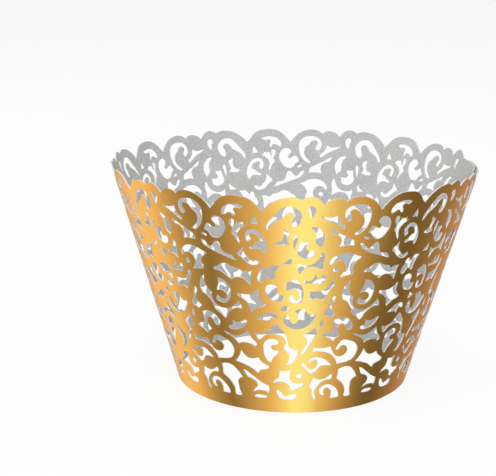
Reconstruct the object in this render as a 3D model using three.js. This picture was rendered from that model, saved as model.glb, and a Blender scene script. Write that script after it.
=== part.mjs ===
import * as THREE from "three";

// Lace cupcake wrapper: one die-cut fan of gold-faced card, rolled into an open cone
// and lapped at the seam. Millimetres, +Z up, standing on its bottom edge at z = 0.
// Cup angles are degrees round the cone: 0 is the front (-Y), growing towards +X.

// Driving dimensions
const BOTTOM_DIAMETER = 53.3;
const TOP_DIAMETER = 83;
const CONE_HEIGHT = 51;
const CARD = 0.3;
const REPEAT_ANGLE = 50;
const FRONT_REPEAT = 9.7;
const SPREAD_FROM = -65;
const SPREAD = 0.045;
const LAP_FROM = -272;
const LAP_TO = 99;
const LAP_GAP = 0.2;
const RISE_FROM = 50;
const RISE_TO = 84;
const LACE_FROM = -258;
const LACE_TO = 81;
const SCALLOP_FROM = -255.9;
const SCALLOP_TO = 76.2;
const PLAIN_TOP = 52.2;
const PLAIN_ROWS = [9, 18, 27, 36, 45];
const INNER_COLUMNS = [-266, -260];
const OUTER_COLUMNS = [84, 91.5];
const PLAIN_STEP = 1.2;
const TOP_BAR = 2;
const ARC_STEP = 7.5;
const FACET_AREA = 0.6;
const SMALLEST_OPENING = 1.8;

// One repeat of the lace, drawn on the flat fan with y up from the bottom edge
const FAN_APEX = 95.136;
const FAN_SLANT = 53.09;
const FAN_REPEAT = 14;
const SHARP = 1;

const OPENINGS = {
  leftVolute: [
    [-11.8, 45.3, SHARP], [-11.95, 46.4], [-11.4, 47.6], [-10.6, 48.8], [-9.8, 50], [-8.9, 50.95],
    [-7.8, 51.3], [-6.6, 51.15], [-5.6, 50.5], [-4.95, 49.4], [-5.05, 48.2], [-5.6, 47.1],
    [-6.4, 46.65], [-6.95, 47.2], [-6.8, 48.2], [-6.5, 49.1], [-6.8, 49.8], [-7.6, 49.9],
    [-8.2, 49.4], [-8.7, 48.5, SHARP], [-9.8, 47.75], [-10.7, 47], [-11.3, 46],
  ],
  lobeSlot: [
    [-3.75, 51.2], [-3.15, 51.55], [-2.5, 51.3], [-2.25, 50.4], [-2.5, 49.5],
    [-2.95, 48.75, SHARP], [-3.4, 49.3], [-3.45, 50.1], [-3.75, 50.6],
  ],
  lobeWedge: [
    [-1.25, 49.45, SHARP], [-0.2, 49.05], [1.2, 48.95], [2.4, 49.4, SHARP], [2.65, 48.3],
    [3.25, 47.4], [3.95, 46.75], [3.7, 46.2], [2.9, 46.65], [1.9, 47.45], [0.6, 48.15],
    [-0.6, 48.75],
  ],
  rightVolute: [
    [4.6, 47.85], [3.85, 48.7], [3.7, 49.7], [4.1, 50.7], [4.9, 51.3], [6.2, 51.55], [7.5, 51.4],
    [8.6, 50.8], [9.3, 49.7], [9.35, 48.2], [9, 46.8], [8.3, 45.6], [7.4, 44.8], [6.5, 44.45],
    [6, 44.75, SHARP], [7.1, 45.7], [7.8, 46.6], [7.95, 47.6], [7.7, 48.5], [7.2, 49],
    [6.75, 49.5], [6.2, 50.25], [5.3, 50.45], [4.75, 49.9], [4.85, 49.4], [5.15, 48.8],
    [5.1, 48.2],
  ],
  archCrescent: [
    [13.9, 48.15, SHARP], [13.85, 49], [14.4, 49.85], [15.3, 50.4], [16.5, 50.6], [17.7, 50.45],
    [19, 49.95, SHARP], [18, 49.45], [17, 49.75], [16.6, 49.4], [16.75, 48.6], [16.65, 47.95],
    [16.2, 48], [15.9, 48.6], [15.2, 48.65], [14.6, 48.3],
  ],
  roundCrescent: [
    [9.95, 46.15, SHARP], [9.4, 45.5], [9, 44.75, SHARP], [9.8, 44.15], [10.3, 43.2],
    [11.3, 42.75], [12.4, 43], [13.3, 43.9], [13.9, 44.9], [14.1, 46], [13.8, 47], [13.1, 47.7],
    [12.3, 47.95], [11.5, 47.6], [11.2, 47], [11.6, 46.3], [11.9, 45.8], [11.6, 45.35],
    [11.1, 45.4], [10.6, 45.9],
  ],
  smallSlit: [
    [8.2, 43.85], [8.7, 43.8], [9.3, 43.3], [9.2, 43.05], [8.7, 43.15], [8.3, 43.45],
  ],
  upperTriangle: [
    [-14.4, 48.4, SHARP], [-13.95, 47.4], [-13.75, 46.5, SHARP], [-14.5, 46.6],
    [-15.25, 46.5, SHARP], [-14.9, 47.4],
  ],
  upperFork: [
    [15.6, 47.25], [16.15, 47], [16.1, 46.2], [15.95, 45.3, SHARP], [16.35, 45.9],
    [16.7, 46.65, SHARP], [17.3, 46.3], [18.05, 46.35, SHARP], [18.2, 45.75], [18.8, 45.75, SHARP],
    [18.1, 45.35], [17.2, 44.85], [16.5, 44.1], [16.3, 43.1], [16.45, 42.2], [16.25, 41.4, SHARP],
    [15.9, 42.2], [15.6, 43.2], [15.1, 44.1], [15.45, 45.1], [15.1, 46.2], [15.2, 46.95],
  ],
  spiralComma: [
    [-15.6, 42.2], [-16.1, 43.1], [-16.15, 44], [-15.7, 44.8], [-14.8, 45.2], [-13.9, 45.05],
    [-13, 44.5], [-12.2, 43.5], [-11.7, 42.4], [-11.5, 41.3], [-11.65, 40.5], [-12, 39.85, SHARP],
    [-12.5, 40.55], [-13.1, 40.9], [-14, 40.8], [-14.9, 40.55], [-15.3, 40.95, SHARP],
    [-14.3, 41.6], [-13.7, 42.3], [-12.95, 42.7, SHARP], [-13.5, 43.8], [-14.3, 44.2],
    [-15, 44.25], [-15.35, 43.7], [-15, 43.1], [-15.05, 42.5],
  ],
  innerStar: [
    [-8.35, 46.2, SHARP], [-7.9, 45.7], [-7.3, 45.5], [-7.25, 44.8], [-7.55, 44], [-7.5, 43.3],
    [-7, 42.65, SHARP], [-7.9, 42.4], [-9.1, 42.2], [-9.9, 42.45, SHARP], [-9.6, 42.95],
    [-8.8, 43.3], [-8.4, 44], [-8.35, 45], [-8.5, 45.6],
  ],
  innerSliver: [
    [-5.9, 44.85, SHARP], [-5.5, 44.2], [-5.55, 43.4], [-5.8, 42.3], [-5.9, 41.2, SHARP],
    [-6.25, 42.1], [-6.35, 43.2], [-6.35, 44.1],
  ],
  innerLens: [
    [-3.1, 46.75, SHARP], [-2.2, 46.85], [-1.2, 46.35], [-0.4, 45.4], [-0.05, 44.3], [-0.2, 43.3],
    [-0.65, 41.9, SHARP], [-1.3, 42.6], [-1.8, 43.2], [-1.8, 44.5], [-2, 45.5], [-2.4, 46.1],
  ],
  innerVolute: [
    [-4.95, 43.3, SHARP], [-4.2, 43.2], [-3.3, 43.25, SHARP], [-3.3, 42.6], [-3.65, 42.2],
    [-3.6, 41.6], [-3.1, 41.3], [-2.1, 41.5, SHARP], [-1.95, 40.8], [-2.15, 40], [-2.8, 39.5],
    [-3.6, 39.4], [-4.5, 39.7], [-5.2, 40.3], [-5.4, 41.1], [-5.15, 42.1],
  ],
  rightFlame: [
    [0.75, 46.5, SHARP], [1.7, 46], [2.9, 45.15], [4.1, 44.5], [5.2, 43.8], [6.1, 43.2],
    [6.3, 42, SHARP], [5, 42.15], [4, 42.15], [3, 41.95, SHARP], [3.35, 42.8], [3.45, 43.6],
    [3.1, 44.4], [2.4, 44.95], [1.5, 45.1],
  ],
  rightWave: [
    [7.55, 42.4, SHARP], [8.3, 42.15], [8.8, 41.4], [9.4, 40.85], [10.1, 41.2], [10.7, 41.85],
    [11.4, 42], [11.85, 41.4], [11.9, 40.6], [12.3, 39.6], [13.2, 39.1], [13.9, 38.9],
    [14.8, 37.45, SHARP], [13.7, 37.95], [12.4, 38.6], [11, 39.25], [9.6, 39.95], [8.5, 40.6],
    [7.75, 41.4],
  ],
  sideHook: [
    [17, 40.9, SHARP], [16.85, 40], [16.95, 39], [17.6, 38], [18.3, 37.2], [19.2, 37.5],
    [19.75, 37.2], [19.3, 36.6], [18.4, 36.3], [17.2, 36.75], [16.5, 37.6], [15.9, 38.4],
    [15.2, 39, SHARP], [15.4, 39.5], [16.1, 40.05],
  ],
  smallLeaf: [
    [-6.6, 39.75, SHARP], [-6.35, 38.9], [-6.6, 37.95], [-7.5, 37.9], [-8.35, 37.85, SHARP],
    [-7.9, 38.2], [-7.2, 38.8],
  ],
  leftBird: [
    [-12.6, 36.2], [-12, 36.75], [-11.5, 36.3], [-11.4, 35.75, SHARP], [-11.1, 36.5],
    [-10.5, 37.2], [-9.7, 37.4], [-8.8, 37.35, SHARP], [-9.3, 36.5], [-9.65, 35.4], [-9.7, 34.3],
    [-9.9, 33.75], [-10.4, 33.75], [-10.9, 34.2], [-11.4, 34.2], [-11.8, 33.5], [-12.2, 32.95],
    [-12.8, 32.95], [-13.25, 33.6], [-13.1, 34.6], [-12.75, 35.3],
  ],
  centreBird: [
    [-0.2, 41, SHARP], [0.25, 40.2], [0.35, 39.2], [0.1, 38], [0.2, 36.5, SHARP], [-0.6, 36.95],
    [-1.3, 37.4], [-2.3, 37.5], [-3.3, 37.3], [-4, 36.7], [-4.6, 35.6, SHARP], [-5, 36.4],
    [-5.2, 38.3, SHARP], [-4.4, 37.95], [-3.2, 37.8], [-2.2, 38.1], [-1.3, 38.8], [-0.8, 39.6],
    [-0.55, 40.4],
  ],
  rightArch: [
    [1.5, 37.7, SHARP], [1.4, 38.5], [1.9, 39.4], [2.8, 40.1], [4, 40.45], [5.3, 40.4], [6.4, 40],
    [7.3, 39.45], [8.4, 39, SHARP], [7.5, 38.5], [6.8, 37.8], [6.4, 36.9], [6.7, 35.7],
    [6.55, 35.1, SHARP], [5.2, 34.95], [3.7, 34.6, SHARP], [4.2, 35.5], [4.75, 36.3], [4.75, 37.4],
    [4.3, 38.2], [3.4, 38.65], [2.5, 38.5], [1.9, 37.95],
  ],
  archDot: [
    [2.9, 37.2], [3.4, 36.75], [3.2, 36.2], [2.7, 36], [2.2, 36.4], [2.4, 37],
  ],
  longLeaf: [
    [9.05, 35.3], [9.3, 35.8], [10.2, 36.15], [11.1, 36.7], [12.2, 36.85], [13.1, 36.4],
    [14.1, 35.85], [15, 35.5], [15.4, 34.95], [16.5, 35.05], [17.6, 34.9, SHARP], [17.15, 34],
    [16.95, 32.9], [16.65, 31.5, SHARP], [16.1, 32.3], [15.5, 33.05], [14.7, 33.45], [13.7, 33.5],
    [12.7, 32.9, SHARP], [12, 33.6], [11.1, 34.45], [10.1, 35.1],
  ],
  leftKidney: [
    [-11.45, 31.2], [-11.2, 32.2], [-10.5, 32.65], [-9.7, 32.6], [-9, 32.2], [-8.85, 31.5],
    [-9, 30.9], [-8.5, 30.35], [-7.65, 30.35, SHARP], [-7.5, 29.5], [-7.9, 28.8], [-8.9, 28.65],
    [-9.9, 28.8], [-10.7, 29.35], [-11.2, 30.2],
  ],
  centreVolute: [
    [-7.7, 33.15, SHARP], [-6.6, 33.8], [-5.6, 34.3], [-4.8, 34], [-4.2, 33.2], [-3.7, 32],
    [-3.5, 30.8], [-3.6, 29.6], [-4, 28.8], [-4.9, 28.5], [-5.8, 28.55], [-6.2, 29.1], [-6.3, 30],
    [-5.9, 30.6], [-5.5, 30.2], [-5.35, 29.4], [-4.8, 29.15], [-4.35, 29.6], [-4.3, 30.5],
    [-4.6, 31.4], [-5.3, 31.95], [-6.1, 31.85], [-6.95, 31.4, SHARP], [-7.1, 32.1], [-7.15, 32.7],
  ],
  centreCrown: [
    [-3.6, 34.2], [-2.7, 34.05], [-1.9, 34.4], [-1.25, 35.8, SHARP], [-0.95, 34.9], [-0.5, 34.4],
    [-0.1, 34.9], [0.3, 35.5], [0.8, 35], [0.75, 34.1], [0.2, 33.45], [-1.1, 33.4], [-2.6, 33.45],
    [-3.6, 33.6],
  ],
  centreBow: [
    [-2.25, 31.55, SHARP], [-0.8, 31.55], [0.5, 31.7], [1.2, 32.3], [1.8, 33.2], [2.3, 34.15],
    [2.9, 33.7], [2.7, 32.8], [2.1, 32], [1.6, 31], [1.1, 30], [0.6, 29.15, SHARP], [0, 29.65],
    [-0.9, 29.8], [-2.1, 29.25, SHARP], [-2.25, 30], [-2.1, 30.8],
  ],
  dropDart: [
    [3.05, 30.45, SHARP], [3.35, 29.6], [2.95, 28.7], [2.65, 27.8], [2.75, 26.9], [3.2, 26.2],
    [3.75, 25.75, SHARP], [3.1, 25.2], [2.7, 24.8, SHARP], [2.1, 25.2], [1.3, 25.4, SHARP],
    [1.2, 26.3], [1.7, 27.2], [2.1, 28.2], [2.4, 29.2], [2.7, 29.9],
  ],
  dropOval: [
    [0.9, 24.6, SHARP], [1.15, 23.9], [1.1, 23.3], [0.7, 22.4, SHARP], [0.35, 23.1], [0.45, 23.9],
  ],
  swan: [
    [6.35, 33.75, SHARP], [5.6, 33.2], [4.95, 32.2], [4.55, 31], [4.55, 29.8], [4.85, 29.2],
    [5.7, 28.6], [6.3, 27.8], [6.8, 26.8], [7.05, 25.6], [7.4, 25.05], [8.2, 24.4],
    [9.15, 23.2, SHARP], [9.7, 23.8], [10.3, 24.8], [11.1, 25.45], [12.2, 26], [13.6, 25.8, SHARP],
    [13.5, 26.8], [13.05, 27.75, SHARP], [12.4, 27], [11.3, 26.2], [9.9, 25.85], [8.6, 26],
    [7.7, 26.7], [7.15, 27.8], [7.05, 28.8], [7.25, 29.6, SHARP], [6.5, 30.3], [6.1, 31.3],
    [6, 32.5],
  ],
  swanVolute: [
    [9.55, 33.35, SHARP], [10.5, 33], [11.3, 32.3], [11.8, 31.2], [11.9, 30], [11.6, 28.8],
    [10.95, 27.75], [10, 27.15], [9, 27.25], [8.1, 27.85], [8.2, 28.6], [8.6, 29.1, SHARP],
    [9.1, 28.45], [9.8, 28.1], [10.5, 28.4], [10.8, 29.1], [10.4, 29.85], [9.6, 30.25],
    [8.5, 30.1, SHARP], [8.9, 31], [9.35, 31.9],
  ],
  sideStar: [
    [13.35, 29.7, SHARP], [14.3, 29.5], [15.3, 29.3], [16.4, 29.45], [17.3, 30],
    [18.15, 30.6, SHARP], [18, 29.7], [17.8, 28.8], [18.1, 27.8], [19, 26.7, SHARP], [18.3, 26.25],
    [17.2, 26.05], [15.6, 24.95, SHARP], [15.35, 26], [15.2, 27], [14.6, 27.9], [13.8, 28.7],
    [13.2, 29.25],
  ],
  tinyLeaf: [
    [-7.25, 27.9, SHARP], [-6.7, 27.45], [-5.9, 27.05, SHARP], [-6.7, 26.7], [-7.4, 26.35],
    [-7.95, 26.8], [-7.7, 27.4],
  ],
  greatHook: [
    [-5, 26.75, SHARP], [-4.2, 27.1], [-3, 27.2, SHARP], [-2.4, 26.2], [-1.7, 25.7],
    [-0.8, 26, SHARP], [-0.6, 25.3], [-1, 24.5], [-1.5, 23.6], [-2.3, 22.8], [-3.3, 22.2],
    [-4.5, 21.95], [-5.6, 22.2], [-6.6, 22.8], [-7.2, 23.7], [-7.25, 24.7], [-6.55, 25.75, SHARP],
    [-6.1, 25], [-5.8, 24], [-5.2, 23.4], [-4.6, 23.6], [-4.25, 24.4], [-4.3, 25.4], [-4.6, 26.1],
  ],
  leftCrest: [
    [-13.15, 23.45, SHARP], [-12.3, 24.2], [-11.6, 25.1], [-10.7, 25.55], [-9.8, 25.75],
    [-9, 25.45], [-8.55, 24.7], [-8.8, 24.25], [-9.5, 24.5], [-9.95, 24.3], [-10.2, 23.1, SHARP],
    [-10.9, 23.55], [-12, 23.6],
  ],
  boomerang: [
    [3.3, 24.1, SHARP], [4.4, 24.5], [5.4, 24.6], [6.4, 24.15], [7.2, 23.3], [7.65, 22.2],
    [7.4, 21.4], [6.8, 21.15], [6.3, 21.45], [5.95, 22.2], [5.5, 22.95], [4.9, 22.95],
    [4.45, 22.4], [4.35, 21.4], [4.95, 20, SHARP], [4.2, 19.5], [3.6, 18.7, SHARP], [3, 19.35],
    [2.1, 19.95], [0.8, 20.5, SHARP], [1.8, 20.95], [2.8, 21.3], [3.4, 21.9], [3.5, 22.9],
  ],
  canoe: [
    [10.45, 23.1, SHARP], [11.2, 22.65], [12.1, 22.5], [12.9, 22.65], [13.5, 23.05],
    [14.05, 22.8, SHARP], [13.5, 21.9], [12.7, 21.1], [11.7, 20.7], [10.6, 20.55], [9.6, 20.8],
    [9.5, 21.4, SHARP], [10.3, 21.75], [10.75, 22.3],
  ],
  longTail: [
    [-13.2, 20.3, SHARP], [-12.3, 20.1], [-11.2, 20.4], [-10.3, 20.95], [-9.7, 21.9], [-9.2, 22.7],
    [-8.75, 23], [-8.2, 22.5], [-7.6, 21.8], [-6.9, 21.1], [-6.5, 20.1], [-6.1, 19], [-5.9, 17.9],
    [-5.4, 17.1], [-4.6, 16.8], [-3.9, 16.7, SHARP], [-3.85, 15.6], [-4.1, 14.4], [-4.6, 13.4],
    [-5.3, 12.75], [-6.2, 12.5, SHARP], [-5.7, 13.4], [-5.5, 14.5], [-5.7, 15.4], [-6.3, 16.3],
    [-6.85, 17], [-6.45, 17.9], [-6.55, 18.9], [-7.1, 19.7], [-8, 20.2], [-9.1, 20.35],
    [-10.1, 20.2], [-11, 19.7], [-11.6, 18.9], [-12.15, 18.5], [-12.7, 19.1],
  ],
  centreDart: [
    [-3.1, 20.6, SHARP], [-2.2, 21.1], [-1.4, 21.65], [-0.65, 22.4, SHARP], [-0.1, 21.7],
    [-0.2, 20.9], [-0.6, 19.8], [-1.1, 18.7], [-1.6, 17.6], [-2.2, 16.4], [-2.7, 15.3, SHARP],
    [-3, 16.1], [-2.6, 17.2], [-2.1, 18.2], [-2, 19], [-2.4, 19.9],
  ],
  anchorVolute: [
    [-0.6, 17.35, SHARP], [0.5, 17.15], [1.8, 17.15], [3.2, 17.45, SHARP], [3.45, 16.6],
    [3.85, 15.7], [4.3, 15], [5, 14.55], [5.8, 14.55], [6.5, 14.95], [6.95, 15.7], [6.9, 16.5],
    [6.4, 17.15], [5.7, 17.3], [5.25, 16.9], [4.8, 16.35], [4.35, 16.45], [4.6, 17.3], [5, 18],
    [5.6, 18.65], [6.5, 18.7], [7.6, 18.2], [8.6, 17.5], [9.25, 16.6], [9.45, 15.5], [9.1, 14.2],
    [8.4, 13.3], [7.4, 12.85], [6.2, 12.7], [4.85, 12.55, SHARP], [4.65, 13.5], [4.1, 14.4],
    [3.5, 15.2], [2.6, 15.8], [1.5, 16.15], [0.4, 16.3], [-0.5, 16.2],
  ],
  kite: [
    [7.95, 20.1, SHARP], [8.9, 19.7], [9.9, 19.15], [11.1, 19.05], [12.2, 19.4], [13, 19.9],
    [13.65, 20.3, SHARP], [13.95, 19.3], [14.2, 18.4], [14.7, 17.6], [15, 17], [14.5, 16.35],
    [13.8, 16.9], [12.8, 17.25], [11.8, 17.3], [10.8, 16.95, SHARP], [10.5, 17.7], [9.9, 18.45],
    [9.1, 19.05], [8.3, 19.5],
  ],
  fish: [
    [11.05, 15.4, SHARP], [11.5, 14.5], [12.1, 13.65], [13, 13.2], [14.65, 13.45, SHARP],
    [15, 12.6], [15.6, 11.8], [16.5, 11, SHARP], [16.2, 10.4], [15.3, 10.25], [14.5, 10.1],
    [13.75, 9.3, SHARP], [13.1, 10.1], [12.3, 10.9], [11.2, 11.55], [10.2, 12.05],
    [9.15, 12.4, SHARP], [9.7, 13], [10.3, 13.8], [10.8, 14.7],
  ],
  bean: [
    [-11.15, 17.3], [-10.8, 18.2], [-10, 18.9], [-9, 19.1], [-8.2, 18.8], [-8.1, 18.1],
    [-8.6, 17.55], [-9.3, 17.45], [-9.5, 17], [-9.2, 16.4], [-8.6, 16.2], [-7.85, 16.15],
    [-8.1, 15.3], [-8.7, 14.5], [-9.15, 13.7], [-9.2, 13.05, SHARP], [-9.8, 13.05], [-10.5, 13.9],
    [-10.95, 15], [-11.1, 16.2],
  ],
  sVolute: [
    [-2.6, 13.6, SHARP], [-2.1, 13], [-1.7, 12.3], [-1.2, 11.85], [-0.5, 11.65], [0.1, 12],
    [0.5, 12.8], [0.6, 13.5], [0.2, 14.1], [-0.4, 13.9], [-0.9, 13.45], [-1.6, 13.3, SHARP],
    [-1.1, 14.2], [-0.4, 14.7], [0.5, 14.8], [1.4, 14.55], [2.2, 14.05], [3, 13.2],
    [3.75, 12.35, SHARP], [3, 12.4], [2.1, 12.5], [1.3, 12.35], [0.8, 11.7], [0.2, 10.9],
    [-0.5, 10.55], [-1.1, 10.8], [-1.7, 11.5], [-2.3, 12.2], [-2.9, 12.8],
  ],
  greatStar: [
    [-7.4, 11.05, SHARP], [-6.2, 11.05], [-4.8, 11.45, SHARP], [-5.1, 10.4], [-5.1, 9.3],
    [-4.7, 8.45], [-3.9, 7.95], [-3, 7.95], [-2.2, 8.15, SHARP], [-2.1, 7.4], [-2.8, 6.8],
    [-3.6, 6.3], [-4.1, 5.8, SHARP], [-4.8, 6.1], [-5, 6.9], [-5.6, 7.65], [-6.4, 8.05], [-7.4, 8],
    [-8.7, 7.4, SHARP], [-8.2, 8.4], [-7.5, 9.1], [-7.3, 10.1],
  ],
  starDot: [
    [-3.1, 10.5], [-2.5, 10.1], [-2.55, 9.5], [-3.1, 9.2], [-3.7, 9.5], [-3.7, 10.1],
  ],
  lowBoot: [
    [-7.6, 5.8], [-6.9, 5.5], [-6.4, 4.9], [-6, 4.35], [-5.3, 4.55], [-4.4, 4.95],
    [-3.45, 5, SHARP], [-3.4, 4.2], [-3.9, 3.55], [-5, 3.35], [-6.1, 3.35], [-6.9, 3.7],
    [-7.45, 4.4], [-7.75, 5.2],
  ],
  arrow: [
    [10.4, 10.4, SHARP], [11.2, 10], [12, 9.15], [12.9, 8.2], [13.8, 7.2], [14.7, 6.4],
    [15.45, 5.9, SHARP], [15.4, 5], [15, 3.8, SHARP], [14.7, 4.35], [13.9, 4.7], [12.8, 4.8],
    [11.6, 4.3, SHARP], [12.1, 5.1], [12.75, 5.7], [13, 6.5], [12.6, 7.4], [11.9, 8], [11.2, 8.35],
    [10.8, 9.2],
  ],
  lowSlit: [
    [11.6, 3.1, SHARP], [12.2, 3.65], [13.2, 3.65], [14.5, 3.25, SHARP], [14.4, 2.8], [13.2, 2.7],
    [12.2, 2.85],
  ],
  lowDart: [
    [-0.1, 9.5, SHARP], [0.7, 9], [1.7, 8.85], [2.7, 9.15], [3.85, 10.1, SHARP], [4.15, 9.4],
    [3.8, 8.7], [2.8, 8.6], [1.9, 8.1], [1.2, 7.3], [0.6, 6.3], [0.4, 5.2], [0.7, 4.3],
    [0.8, 3.2, SHARP], [0.2, 3.9], [-0.1, 5], [-0.2, 6.2], [-0.75, 7.1], [-0.5, 8], [-0.3, 8.8],
  ],
  lowArch: [
    [2.2, 4.55], [1.55, 5.3], [1.45, 6.1], [2, 6.9], [2.9, 7.35], [3.8, 7.2], [4.7, 6.5],
    [5.5, 5.5], [5.95, 4.5], [5.95, 3.45, SHARP], [5, 3.45], [4, 3.45, SHARP], [4.1, 4.4],
    [4.15, 5.3], [3.7, 6.1], [3, 6.4], [2.5, 5.9], [2.5, 5.1], [2.65, 4.6],
  ],
  mushroom: [
    [5.35, 11.1, SHARP], [6, 11.4], [7.3, 11.5], [8.2, 11.1], [8.9, 10.3], [9.5, 9.3],
    [10, 8.15, SHARP], [9.2, 7.85], [8.65, 7.1], [8.6, 6], [8.6, 4.6], [8.85, 3.3, SHARP],
    [8, 3.2], [7.3, 3.45], [7.35, 4.8], [7.1, 6], [6.5, 7.2], [5.8, 8], [5.2, 8.7], [5.35, 9.8],
  ],
};

// Scalloped top edge of one repeat, valley to valley
const SCALLOPS = [
  [-12.85, 49.65, SHARP], [-12.1, 50.8], [-11, 51.85], [-9.6, 52.75], [-8, 53.2], [-6.6, 53.35],
  [-5.1, 52.85, SHARP], [-4.3, 53.35], [-3.2, 53.7], [-2, 53.25], [-0.65, 51.8, SHARP],
  [0.3, 52.65], [1.6, 53.1], [2.8, 53], [3.75, 52.35, SHARP], [4.9, 53.05], [6.3, 53.3],
  [7.8, 53.05], [9.3, 52.3], [10.4, 51.3], [11.55, 49.55, SHARP], [12.4, 50.4], [13.7, 51.6],
  [15.2, 52.35], [17, 52.5], [18.4, 52.25], [19.7, 51.85], [20.95, 50.8], [21.9, 49.3],
];

const radians = (degrees) => (degrees * Math.PI) / 180;

// Point of the drawn repeat as [cup angle, distance up the slant] in the nth repeat
function onFan([x, y], repeat) {
  const turn = (Math.atan2(x, FAN_APEX + y) * 180) / Math.PI;
  const even = FRONT_REPEAT + REPEAT_ANGLE * (repeat + turn / FAN_REPEAT);
  const cup = even + SPREAD * Math.min(0, even - SPREAD_FROM);
  return [cup, Math.hypot(x, FAN_APEX + y) - FAN_APEX];
}

// The same point on the flat fan, where the card is cut
function flat([cup, up]) {
  const turn = radians((cup * FAN_REPEAT) / REPEAT_ANGLE);
  return new THREE.Vector2((FAN_APEX + up) * Math.sin(turn), (FAN_APEX + up) * Math.cos(turn));
}

function cross(a, b, c) {
  return (b[0] - a[0]) * (c[1] - a[1]) - (b[1] - a[1]) * (c[0] - a[0]);
}

function area(outline) {
  const points = outline.map(([x, y]) => new THREE.Vector2(x, y));
  return Math.abs(THREE.ShapeUtils.area(points));
}

// Drops the points of a rounded run that change the outline least; sharp points stay
function facet(outline, closed) {
  const kept = outline.slice();
  while (kept.length > 4) {
    let least = FACET_AREA;
    let drop = -1;
    for (let i = 0; i < kept.length; i += 1) {
      const end = !closed && (i === 0 || i === kept.length - 1);
      if (kept[i][2] === SHARP || end) continue;
      const before = kept[(i + kept.length - 1) % kept.length];
      const after = kept[(i + 1) % kept.length];
      const cut = Math.abs(cross(before, kept[i], after)) / 2;
      if (cut < least) {
        least = cut;
        drop = i;
      }
    }
    if (drop < 0) break;
    kept.splice(drop, 1);
  }
  return kept;
}

function repeats() {
  const first = Math.floor((LAP_FROM - FRONT_REPEAT) / REPEAT_ANGLE);
  const last = Math.ceil((LAP_TO - FRONT_REPEAT) / REPEAT_ANGLE);
  return Array.from({ length: last - first + 1 }, (_, i) => first + i);
}

// Edge of the whole sheet: bottom arc, one end, the top from seam to seam, other end
function sheetEdge() {
  const edge = [];
  const steps = Math.round((LAP_TO - LAP_FROM) / ARC_STEP);
  for (let i = 0; i <= steps; i += 1) {
    edge.push([LAP_FROM + ((LAP_TO - LAP_FROM) * i) / steps, 0]);
  }
  edge.push([LAP_TO, PLAIN_TOP]);
  for (const cup of OUTER_COLUMNS.slice().reverse()) edge.push([cup, PLAIN_TOP]);
  edge.push([SCALLOP_TO + PLAIN_STEP, PLAIN_TOP]);
  const top = [];
  const scallops = facet(SCALLOPS, false);
  for (const repeat of repeats()) {
    for (const point of scallops) {
      const [cup, up] = onFan(point, repeat);
      if (cup > SCALLOP_FROM && cup < SCALLOP_TO) top.push([cup, up]);
    }
  }
  top.reverse();
  edge.push(...top);
  edge.push([SCALLOP_FROM - PLAIN_STEP, PLAIN_TOP]);
  edge.push([INNER_COLUMNS[0], PLAIN_TOP]);
  edge.push([LAP_FROM, PLAIN_TOP]);
  return edge;
}

// An opening stays within the lace and, past the scallops, a bar below the plain top edge
function onCard([cup, up]) {
  const scalloped = cup > SCALLOP_FROM && cup < SCALLOP_TO;
  return cup > LACE_FROM && cup < LACE_TO && (scalloped || up < PLAIN_TOP - TOP_BAR);
}

function openings() {
  const cut = [];
  for (const outline of Object.values(OPENINGS)) {
    if (area(outline) < SMALLEST_OPENING) continue;
    const shape = facet(outline, true);
    for (const repeat of repeats()) {
      const placed = shape.map((point) => onFan(point, repeat));
      if (placed.every(onCard)) cut.push(placed);
    }
  }
  return cut;
}

function insideCircle(a, b, c, d) {
  const rows = [a, b, c].map((p) => [p.x - d.x, p.y - d.y]);
  const [p, q, r] = rows;
  const sq = rows.map(([x, y]) => x * x + y * y);
  const value =
    p[0] * (q[1] * sq[2] - r[1] * sq[1]) -
    p[1] * (q[0] * sq[2] - r[0] * sq[1]) +
    sq[0] * (q[0] * r[1] - r[0] * q[1]);
  return value > 1e-7;
}

function turnsLeft(a, b, c) {
  return (b.x - a.x) * (c.y - a.y) - (b.y - a.y) * (c.x - a.x) > 1e-9;
}

// Swaps shared edges until no triangle is needlessly long, so the faces follow the cone
function evenOut(points, triangles) {
  for (let pass = 0; pass < 40; pass += 1) {
    const owner = new Map();
    triangles.forEach((t, index) => {
      for (let e = 0; e < 3; e += 1) owner.set(`${t[e]}_${t[(e + 1) % 3]}`, [index, t[(e + 2) % 3]]);
    });
    const touched = new Set();
    let swapped = 0;
    for (const [key, [left, apex]] of owner) {
      const [a, b] = key.split("_").map(Number);
      const twin = owner.get(`${b}_${a}`);
      if (!twin || a > b) continue;
      const [right, far] = twin;
      if (touched.has(left) || touched.has(right)) continue;
      if (!insideCircle(points[a], points[b], points[apex], points[far])) continue;
      if (!turnsLeft(points[apex], points[a], points[far])) continue;
      if (!turnsLeft(points[far], points[b], points[apex])) continue;
      triangles[left] = [apex, a, far];
      triangles[right] = [far, b, apex];
      touched.add(left);
      touched.add(right);
      swapped += 1;
    }
    if (swapped === 0) break;
  }
}

// How far the card stands off the cone: the outer end rises to lie over the inner one
function lift(cup) {
  const t = Math.min(Math.max((cup - RISE_FROM) / (RISE_TO - RISE_FROM), 0), 1);
  return (CARD + LAP_GAP) * t * t * (3 - 2 * t);
}

function onCone([cup, up], side) {
  const bottom = BOTTOM_DIAMETER / 2;
  const top = TOP_DIAMETER / 2;
  const along = up / FAN_SLANT;
  const level = (CARD * Math.hypot(top - bottom, CONE_HEIGHT)) / CONE_HEIGHT;
  const r = bottom + (top - bottom) * along + lift(cup) + (side * level) / 2;
  const angle = radians(cup);
  return [r * Math.sin(angle), -r * Math.cos(angle), CONE_HEIGHT * along];
}

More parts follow.
